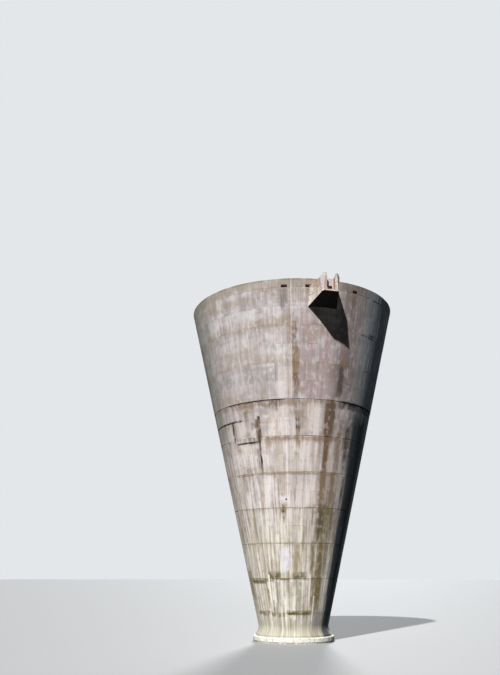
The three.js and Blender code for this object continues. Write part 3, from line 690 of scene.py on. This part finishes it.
# Wall rings: boards nailed up in sheets, and poured against in one lift after another
boards = {
    "seed": 100,
    "width": 0.17,
    "sheets": 70,             # round each pour, five to a formwork panel
    "seam": 0.011,            # half the width of a seam between boards
    "seamDepth": 0.006,
    "seamDirt": 0.5,
    "sheetSeamDepth": 0.003,  # more at the edge of a sheet
    "sheetSeamDirt": 0.25,
    "sheetStep": 0.007,       # how far one sheet may stand behind the next
    "boardStep": 0.004,
}
pours = {
    "skin": 0.1,              # what lies deeper than this inside the wall's face is its inside
    "lip": 0.036,             # half the height of the groove at a pour joint
    "depth": [0.010, 0.012, 0.011, 0.011, 0.008, 0.012, 0.014, 0.003, 0.003, 0.006],   # from the lowest
    "dirt": [0.25, 0.40, 0.28, 0.34, 0.25, 0.45, 0.65, 0.05, 0.05, 0.20],
    "depthRange": (0.5, 0.7),           # share of the depth that is always there, and share that wears
    "waves": (5.0, 17.0, 0.2),          # of the wear: scales of the long and the short, share of the short
    "leastDirt": 0.3,
    "seamInJoint": 0.7,       # how much of a seam's dirt a joint lets show
    "fineLip": 0.014,         # the same at the middle of a pour, where two rows of boards meet
    "fineDepth": 0.004,
    "fineDirt": 0.18,
    "openDirt": 30,           # dirt for each metre of extra depth in a joint, and in a seam
    "openSeamDirt": 40,
    "openEnd": 5,             # degrees over which an open joint closes
    "stepBack": [0.004, 0.006, 0.005, 0.005, 0.005, 0.006, 0.010, 0.002, 0.003, 0.004],   # of a pour's top
    "extraJoints": {"lift_5": [14.33]},
    "hiddenJoints": [(14.65, (-52, -27))],      # where the pour steps down to the next crack
    "openJoints": [           # height, turns, extra depth
        (17.15, (-52, -3), 0.035), (17.15, (33, 80), 0.060), (15.90, (-80, -36), 0.045),
        (14.33, (-50, -24), 0.035), (19.65, (140, 215), 0.03), (12.15, (190, 250), 0.035),
        (17.15, (118, 160), 0.03),
    ],
    "openSeams": [            # turn, heights, extra depth
        (-25.7, (12.15, 15.95), 0.035), (-48.0, (14.3, 15.95), 0.03), (180.0, (12.1, 14.7), 0.02),
        (128.6, (17.1, 19.7), 0.03),
    ],
}
foot = {
    "radius": 2.86,
    "edge": 0.12,
    "waist": 1.3,
    "steps": 9,
}
rim = {
    "chamfer": 0.03,
    "chip": 0.012,            # depth of the nicks in its top edge
    "chipScale": 25.0,        # how close they lie
    "chipSeed": 3.0,
    "slotTurns": [-3.7, 8.9, 36.3, 176.3, 188.9, 216.3],
    "slotWidth": 0.42,
    "slotHeight": 0.20,
}
tolerance = 0.0005                  # within which two heights are one


def window(value, low, high, soft):
    return max(0.0, min(1.0, (value - low) / soft, (high - value) / soft))


def wander(turn, scale, seed):
    return noise.noise(Vector((math.cos(turn) * scale, math.sin(turn) * scale, seed)))


# How far a joint has worn along its course: about 0 to 1, in long and short waves
def wornAt(turn, z):
    longScale, shortScale, shortShare = pours["waves"]
    return 0.5 + wander(turn, longScale, z) + shortShare * wander(turn, shortScale, z)


# Extra depth of the joints that have opened
def openedAt(degrees, z):
    found = 0.0
    for height, (low, high), depth in pours["openJoints"]:
        if abs(z - height) < tolerance:
            for whole in (degrees, degrees + 360):
                found = max(found, depth * window(whole, low, high, pours["openEnd"]))
    return found


def seamOpenedAt(degrees, z, step):
    for turn, (low, high), depth in pours["openSeams"]:
        off = (degrees - turn + 180) % 360 - 180
        if abs(off) < step / 2 and low <= z <= high:
            return depth
    return 0.0


def hiddenAt(degrees, z):
    return any(abs(z - height) < tolerance and low < degrees < high
               for height, (low, high) in pours["hiddenJoints"])


# The outside of a ring as rows of (radius, height), from bottom to top, and its inside
def ringProfile(name):
    low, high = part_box(name + "_left")[0].z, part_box(name + "_left")[1].z
    lip, fine = pours["lip"], pours["fineLip"]
    if name == "rim":
        outside = [(wallRadius(z), z) for z in (low, low + lip, (low + high) / 2, high - rim["chamfer"])]
        outside.append((wallRadius(high) - rim["chamfer"], high))
        inside = [(parapetInside, high), (parapetInside, low)]
    elif name == "foot":
        waist = wallRadius(foot["waist"])
        start, end = Vector((foot["radius"], low + foot["edge"])), Vector((waist, foot["waist"]))
        bend = Vector((waist - lean * (foot["waist"] - low) / 2, (low + foot["waist"]) / 2))
        outside = [(foot["radius"], low)]
        for i in range(foot["steps"] + 1):
            t = i / foot["steps"]
            outside.append(tuple(start.lerp(bend, t).lerp(bend.lerp(end, t), t)))
        outside += [(wallRadius(z), z) for z in (high - lip, high)]
        inside = [(wallRadius(high) - wallAcross, high), (waist - wallAcross, foot["waist"]),
                  (waist - wallAcross, low)]
    else:
        middle = (low + high) / 2
        heights = [low, low + lip, middle - fine, middle, middle + fine, high - lip, high]
        for extra in pours["extraJoints"].get(name, []):
            heights += [extra - lip, extra, extra + lip]
        outside = [(wallRadius(z), z) for z in sorted(heights)]
        inside = [(wallRadius(high) - wallAcross, high), (wallRadius(low) - wallAcross, low)]
        if name == "lift_9":
            inside[:1] = [(parapetInside, high), (parapetInside, roofSeat),
                          (wallRadius(roofSeat) - wallAcross, roofSeat)]
    return outside, inside


def makeRing(index, name, material):
    picker = random.Random(boards["seed"] + index)
    outside, inside = ringProfile(name)
    low, high = outside[0][1], outside[-1][1]
    middle = (low + high) / 2 if name.startswith("lift") else high + 1
    radius = wallRadius((low + high) / 2)
    perSheet = max(2, round(math.tau * radius / boards["sheets"] / boards["width"]))
    count = boards["sheets"] * perSheet
    step = math.tau / count
    seamShare = boards["seam"] / (radius * step)
    bm = spinProfile(outside + inside, 3 * count)

    # How far each board stands back, and its tone, in the lower and the upper row
    back, tone, sheetTone, seamDirt = [], [], [], []
    for row in range(2):
        sheets = [picker.random() for i in range(boards["sheets"])]
        single = [picker.random() for i in range(count)]
        back.append([boards["sheetStep"] * sheets[i // perSheet] + boards["boardStep"] * single[i]
                     for i in range(count)])
        tone.append([picker.random() for i in range(count)])
        sheetTone.append([picker.random() for i in range(boards["sheets"])])
        seamDirt.append([picker.random() ** 2 for i in range(count)])

    stepBack = pours["stepBack"][index] if name != "rim" else 0.0
    always, wearing = pours["depthRange"]
    least, inJoint = pours["leastDirt"], pours["seamInJoint"]
    crevice = bm.verts.layers.float.new("crevice")
    for vert in bm.verts:
        x, y, z = vert.co
        own = math.hypot(x, y)
        if own < wallRadius(max(z, foot["waist"])) - pours["skin"]:
            continue
        column = round(turnOf(vert.co) / step * 3) % (3 * count)
        board, part = divmod(column, 3)
        turn = (board + (0, seamShare, 1 - seamShare)[part]) * step
        degrees = (math.degrees(turn) + 180) % 360 - 180
        rows = [0] if z < middle - tolerance else [1] if z > middle + tolerance else [0, 1]
        recess = max(back[row][board] for row in rows)
        dirt = 0.0
        if part == 0:
            recess = max(recess, max(back[row][board - 1] for row in rows)) + boards["seamDepth"]
            dirt = boards["seamDirt"] * max(seamDirt[row][board] for row in rows)
            if board % perSheet == 0:
                recess += boards["sheetSeamDepth"]
                dirt = min(1.0, dirt + boards["sheetSeamDirt"])
            opened = seamOpenedAt(degrees, z, math.degrees(step))
            recess += opened
            dirt = max(dirt, min(1.0, opened * pours["openSeamDirt"]))
        atBottom, atTop = abs(z - low) < tolerance, abs(z - high) < tolerance
        joint = index - 1 if atBottom else index
        opened = openedAt(degrees, z)
        openDirt = opened * pours["openDirt"]
        rough = wornAt(turn, z)
        if (atBottom or atTop) and 0 <= joint < len(pours["depth"]):
            shown = 0.0 if hiddenAt(degrees, z) else 1.0
            recess += shown * pours["depth"][joint] * (always + wearing * rough) + opened
            dirt = max(dirt * inJoint, min(1.0, shown * pours["dirt"][joint] * (least + rough) + openDirt))
        elif abs(z - middle) < tolerance:
            recess += pours["fineDepth"] * (least + rough) + opened
            dirt = max(dirt * inJoint, min(1.0, pours["fineDirt"] * rough + openDirt))
        elif not (atBottom or atTop):
            recess += opened
            dirt = max(dirt, min(1.0, openDirt))
            if name == "rim" and z > high - 2 * rim["chamfer"]:
                recess += rim["chip"] * max(0.0, wander(turn, rim["chipScale"], rim["chipSeed"]))
        recess = max(0.0, recess + stepBack * (z - low) / (high - low))
        vert.co = (math.sin(turn) * (own - recess), -math.cos(turn) * (own - recess), z)
        vert[crevice] = dirt

    boardTone = bm.faces.layers.float.new("boardTone")
    sheet = bm.faces.layers.float.new("sheetTone")
    for face in bm.faces:
        centre = face.calc_center_median()
        board = int(turnOf(centre) % math.tau / step) % count
        row = 0 if centre.z < middle else 1
        face[boardTone] = tone[row][board]
        face[sheet] = sheetTone[row][board // perSheet]
    pieceName = {"foot": "flaredFoot", "rim": "parapetRim"}.get(name, name.replace("lift_", "wallPour"))
    return finishPiece(pieceName, bm, material, [name + "_left", name + "_right"])


def makeWall(material):
    for index, name in enumerate(ringNames):
        piece = makeRing(index, name, material)
        if name == "rim":
            cutSlots(piece, rim["slotTurns"], rim["slotWidth"], wallAcross, wallAcross, roofSeat,
                     rimBase + rim["slotHeight"])
        if name == "lift_9":
            cutSlots(piece, [spout["turn"]], spout["outletWidth"], *spout["outletReach"],
                     spout["outletFloor"], spout["outletFloor"] + spout["outletHeight"])
    print("wall rings made:", len(ringNames))


# Overflow spout, cast in one with the wall
spout = {
    "seed": 7,
    "pieces": {"spout_floor": "spoutFloor", "spout_cheek_left": "spoutCheekLeft",
               "spout_cheek_right": "spoutCheekRight", "spout_apron": "spoutApron",
               "spout_lip": "spoutLip"},
    "turn": 17.3,
    "outletWidth": 0.40,
    "outletHeight": 0.24,
    "outletFloor": 24.12,
    "outletReach": (0.1, 0.7),          # outwards and inwards
    "hornBack": 8.80,         # from the axis: the boards of the horns reach back to here
    "hornWeak": 0.6,          # weak concrete shows lilac
    "tanFrom": 24.65,         # the cheeks are tan above a line that falls outwards from here at the wall
    "tanFall": 0.376,
    "endBloom": {"spoutCheekLeft": 0.65, "spoutCheekRight": 0.22},      # on the cheeks' outer ends
    "endBloomTop": 24.85,
    "lipBloom": 0.45,
    "arch": 0.10,             # rounding of the hole's upper corners
    "archSteps": 5,
    "apronTop": 0.05,         # a strip along the apron's top that is left out of the painted shade
    "edge": 0.014,            # worn edges
    "board": 0.15,            # the boards it was cast against lie level
    "plankArea": 0.02,        # the smallest face that shows its boards
    "fin": 0.006,             # between boards, where the cement ran out
    "finHeight": 0.005,
    "upright": 0.4,           # a face stands upright if its normal rises less than this
    "ahead": 0.9,             # it looks ahead, inwards or up if its normal reaches further that way
    "inwards": 0.8,
    "up": 0.5,
    "shadeAhead": 0.3,         # it is in painted shade, near black, if its normal reaches less far ahead
}


def splitBy(bm, place, normal):
    bmesh.ops.bisect_plane(bm, geom=bm.verts[:] + bm.edges[:] + bm.faces[:], dist=mergeDistance,
                           plane_co=place, plane_no=normal)


def makeSpout(material):
    picker = random.Random(spout["seed"])
    turn = math.radians(spout["turn"])
    out, up = Vector((math.sin(turn), -math.cos(turn), 0)), Vector((0, 0, 1))
    right = Vector((-out.y, out.x, 0))
    apronBack = min(out.dot(v.co) for v in bpy.data.objects["spout_apron"].data.vertices)
    wallOut = wallRadius(spout["tanFrom"])
    for node, name in spout["pieces"].items():
        bm = solidOf(node)
        if name == "spoutApron":
            corners = [e for e in bm.edges if e.is_manifold and not e.is_convex]
            middle = sum(e.verts[0].co.z for e in corners) / len(corners)
            upper = [e for e in corners if min(v.co.z for v in e.verts) > middle]
            roundEdges(bm, upper, spout["arch"], spout["archSteps"])
        roundEdges(bm, [e for e in sharpEdges(bm) if e.is_convex], spout["edge"])
        low, high = min(v.co.z for v in bm.verts), max(v.co.z for v in bm.verts)
        z = low + spout["board"]
        while z < high - spout["board"] / 2 and name.startswith("spoutCheek"):
            splitBy(bm, (0, 0, z), up)
            z += spout["board"]
        if name.startswith("spoutCheek"):
            splitBy(bm, out * spout["hornBack"], out)
            splitBy(bm, out * wallOut + up * spout["tanFrom"], up + out * spout["tanFall"])
            splitBy(bm, out * apronBack, out)
        layers = {key: bm.faces.layers.float.new(key) for key in rustStained["attributes"]}
        planks = [f for f in bm.faces
                  if abs(f.normal.z) < spout["upright"] and f.calc_area() > spout["plankArea"]]
        for face in planks:
            face[layers["boardTone"]] = picker.random()

        # A face's finish goes by which way it looks, and by how far out and how high it lies
        # The faces inside the channel behind the apron, in the apron's hole and on the floor's top are
        # marked for painted shade
        for face in bm.faces:
            centre = face.calc_center_median()
            ahead, aside, reach = face.normal.dot(out), face.normal.dot(right), centre.dot(out)
            inner = (aside if name == "spoutCheekLeft" else -aside) > spout["inwards"]
            tanLine = spout["tanFrom"] - spout["tanFall"] * (reach - wallOut)
            if name.startswith("spoutCheek"):
                if ahead > spout["ahead"]:
                    face[layers["bloom"]] = spout["endBloom"][name] * (centre.z < spout["endBloomTop"])
                elif inner and reach < apronBack:
                    face[layers["sooty"]] = 1.0
                elif inner:
                    face[layers["bloom"]] = 1.0
                elif reach > spout["hornBack"]:
                    face[layers["weak"]] = spout["hornWeak"]
                elif centre.z > tanLine:
                    face[layers["tanned"]] = 1.0
            if name == "spoutApron":
                face[layers["weak"]] = 1.0
                face[layers["sooty"]] = float(ahead < spout["shadeAhead"]
                                              and centre.z < high - spout["apronTop"])
            if name == "spoutFloor":
                face[layers["sooty"]] = float(face.normal.z > spout["up"])
            if name == "spoutLip":
                face[layers["bloom"]] = spout["lipBloom"]
        if planks:
            bmesh.ops.inset_individual(bm, faces=planks, thickness=spout["fin"], depth=-spout["finHeight"],
                                       use_even_offset=True)
        finishPiece(name, bm, material, [node])
    print("spout made")


# Plinth: a round base with worn edges, poured in one with a shuttering line every so often
plinth = {
    "edge": 0.08,
    "edgeSteps": 4,
    "panels": 12,             # of the hoop that it was poured in
    "panelSteps": 16,
    "seamDepth": 0.006,       # of the line that is left where two panels meet
    "seamDirt": 0.7,
    "wear": 0.022,            # of its side
    "wearMore": 0.3,          # spreads the wear over most of the side
    "wearScale": 16.0,        # how close the hollows lie, round it and up it
    "wearRise": 6,
    "skirt": 0.12,            # height of the rough foot, where the pour ran under the hoop
    "skirtSlope": 0.02,
    "skirtBack": 0.025,
    "skirtWear": 0.02,
    "skirtScale": 40.0,
    "skirtSeed": 1.0,
    "unworn": 2.7,            # radius of the top that the tower's foot stands on
}


def makePlinth(material):
    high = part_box("plinth")[1]
    radius, edge, skirt, slope = high.x, plinth["edge"], plinth["skirt"], plinth["skirtSlope"]
    back = radius - plinth["skirtBack"]
    profile = [(0.0, 0.0), (back, 0.0), (back, skirt - slope), (radius, skirt)]
    for i in range(plinth["edgeSteps"] + 1):
        a = math.radians(90 * i / plinth["edgeSteps"])
        profile.append((radius - edge + edge * math.cos(a), high.z - edge + edge * math.sin(a)))
    profile += [(plinth["unworn"], high.z), (0.0, high.z)]
    steps = plinth["panels"] * plinth["panelSteps"]
    bm = spinProfile(profile, steps)
    crevice = bm.verts.layers.float.new("crevice")
    for vert in bm.verts:
        own = math.hypot(vert.co.x, vert.co.y)
        if own < plinth["unworn"] + edge:
            continue
        turn = turnOf(vert.co)
        column = round(turn / math.tau * steps)
        worn = wander(turn, plinth["wearScale"], vert.co.z * plinth["wearRise"]) + plinth["wearMore"]
        recess = plinth["wear"] * max(0.0, worn)
        if column % plinth["panelSteps"] == 0:
            recess += plinth["seamDepth"]
            vert[crevice] = plinth["seamDirt"]
        if 0 < vert.co.z < skirt - slope / 2:
            recess += plinth["skirtWear"] * max(0.0, wander(turn, plinth["skirtScale"], plinth["skirtSeed"]))
        scale = (own - recess) / own
        vert.co.x *= scale
        vert.co.y *= scale
    finishPiece("washedPlinth", bm, material, ["plinth"])
    print("plinth made")


# Roof: a slab in bays that falls to the drain slots, a mortar fillet along the parapet, a hood behind each
# slot and a steel lid on a cast curb
roof = {
    "bays": 8,
    "baySteps": 12,
    "rings": [2.6, 5.1],
    "jointWidth": 0.03,
    "jointDepth": 0.008,
    "jointDirt": 0.8,
    "fillet": 0.09,
    "filletHollow": 0.4,      # share of its width and height that is left at its middle
    "filletGap": 0.004,
    "filletSteps": 96,
    "filletCut": (0.0, 0.4, 0.1, 0.3),  # for a slot: outwards, inwards, down and up
    "hoodWidth": 0.66,
    "hoodDeep": 0.46,
    "hoodHeight": 0.36,
    "hoodWall": 0.06,
    "hoodFoot": 0.03,         # above the rim's lower edge
    "hoodOff": 0.002,         # from the parapet
    "hoodGap": 0.05,          # under its back, where the rain water runs in
    "hoodEdge": 0.008,
    "curbEdge": 0.015,
    "lidEdge": 0.006,
    "lidPan": (0.06, 0.03, 0.010),      # border, slope and depth of the hollow in the lid's top
    "barSides": 16,
    "hinge": (0.28, 0.018, 0.12),       # from the lid's middle, radius, length
    "hingeSeat": (0.02, 0.014),         # in from the lid's back edge, above its top
    "handle": (0.24, 0.012, 0.055),     # length, rod radius, height
    "handleSeat": (0.12, 0.005),        # in from the lid's front edge, into its top
}


def makeSlab(material):
    low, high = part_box("roof_slab")
    fall = (high.z - rimBase) / high.x
    edges = [0.0] + roof["rings"] + [high.x]
    top = [(r, high.z - fall * r - roof["jointDepth"]) for r in reversed(edges)]
    bm = spinProfile([(0.0, low.z), (high.x, low.z)] + top, roof["bays"] * roof["baySteps"])
    inBays = {}
    for face in bm.faces:
        centre = face.calc_center_median()
        if face.normal.z < 0.5:
            continue
        ring = sum(math.hypot(centre.x, centre.y) > r for r in roof["rings"])
        bay = 0 if ring == 0 else int(turnOf(centre) % math.tau / math.tau * roof["bays"])
        inBays.setdefault((ring, bay), []).append(face)
    crevice = bm.verts.layers.float.new("crevice")
    for vert in bm.verts:
        vert[crevice] = roof["jointDirt"] * (vert.co.z > (low.z + rimBase) / 2)
    for faces in inBays.values():
        bmesh.ops.inset_region(bm, faces=faces, thickness=roof["jointWidth"] / 2, depth=roof["jointDepth"],
                               use_even_offset=True, use_boundary=True)
        for vert in {v for face in faces for v in face.verts}:
            vert[crevice] = 0.0
    finishPiece("roofSlab", bm, material, ["roof_slab"])


def makeFillet(material):
    reach, gap, hollow = roof["fillet"], roof["filletGap"], roof["fillet"] * roof["filletHollow"]
    outer, low = parapetInside - gap, rimBase + gap
    profile = [(outer, low), (outer, low + reach), (parapetInside - hollow, low + hollow),
               (parapetInside - reach, low + gap)]
    piece = finishPiece("roofFillet", spinProfile(profile, roof["filletSteps"]), material, [])
    outwards, inwards, down, above = roof["filletCut"]
    cutSlots(piece, rim["slotTurns"], rim["slotWidth"], outwards, inwards, rimBase - down, rimBase + above)


def makeHoods(material):
    bm = bmesh.new()
    half, wall = roof["hoodWidth"] / 2, roof["hoodWall"]
    near, far = roof["hoodOff"] - parapetInside, roof["hoodDeep"] - parapetInside
    low, high = rimBase + roof["hoodFoot"], rimBase + roof["hoodHeight"]
    for turn in rim["slotTurns"]:
        addBlock(bm, (-half, near, high - wall), (half, far, high), turn)
        addBlock(bm, (-half, near, low), (wall - half, far, high - wall), turn)
        addBlock(bm, (half - wall, near, low), (half, far, high - wall), turn)
        addBlock(bm, (wall - half, far - wall, low + roof["hoodGap"]), (half - wall, far, high - wall), turn)
    roundEdges(bm, bm.edges[:], roof["hoodEdge"])
    finishPiece("drainHoods", bm, material, [])


def makeHatch(concrete, steel):
    bm = solidOf("hatch_curb")
    roundEdges(bm, sharpEdges(bm), roof["curbEdge"])
    finishPiece("hatchCurb", bm, concrete, ["hatch_curb"])

    low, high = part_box("hatch_lid")
    bm = bmesh.new()
    addBlock(bm, low, high)
    top = [f for f in bm.faces if f.normal.z > 0.9]
    border, slope, sunk = roof["lidPan"]
    bmesh.ops.inset_region(bm, faces=top, thickness=border, depth=0.0)
    bmesh.ops.inset_region(bm, faces=top, thickness=slope, depth=-sunk)
    bmesh.ops.poke(bm, faces=top, offset=sunk)
    roundEdges(bm, sharpEdges(bm), roof["lidEdge"])
    (aside, pin, knuckle), (inset, raised) = roof["hinge"], roof["hingeSeat"]
    (length, rod, rise), (forward, deep) = roof["handle"], roof["handleSeat"]
    handleY, handleZ = low.y + forward, high.z - deep
    lying = Matrix.Rotation(math.radians(90), 4, "Y")
    sides = (-1, 1)
    bars = [((side * aside, high.y - inset, high.z + raised), lying, pin, knuckle) for side in sides]
    bars += [((side * length / 2, handleY, handleZ + rise / 2), Matrix(), rod, rise) for side in sides]
    bars.append((((low.x + high.x) / 2, handleY, handleZ + rise), lying, rod, length + 2 * rod))
    for place, turned, radius, depth in bars:
        bmesh.ops.create_cone(bm, cap_ends=True, segments=roof["barSides"], radius1=radius, radius2=radius,
                              depth=depth, matrix=Matrix.Translation(place) @ turned)
    finishPiece("hatchLid", bm, steel, ["hatch_lid"])


def makeRoof(concrete, steel):
    makeSlab(concrete)
    makeFillet(concrete)
    makeHoods(concrete)
    makeHatch(concrete, steel)
    print("roof and hatch made")


makeCamera()
makeStudio()
makeFloor()
print("camera, light and floor made")
makeWall(boardMarkedConcrete())
makeSpout(weatheredMaterial("rustStainedConcrete", rustStained))
makePlinth(weatheredMaterial("limewashedConcrete", limewashed))
makeRoof(weatheredMaterial("trowelledConcrete", trowelled), weatheredMaterial("galvanisedSteel", galvanised))
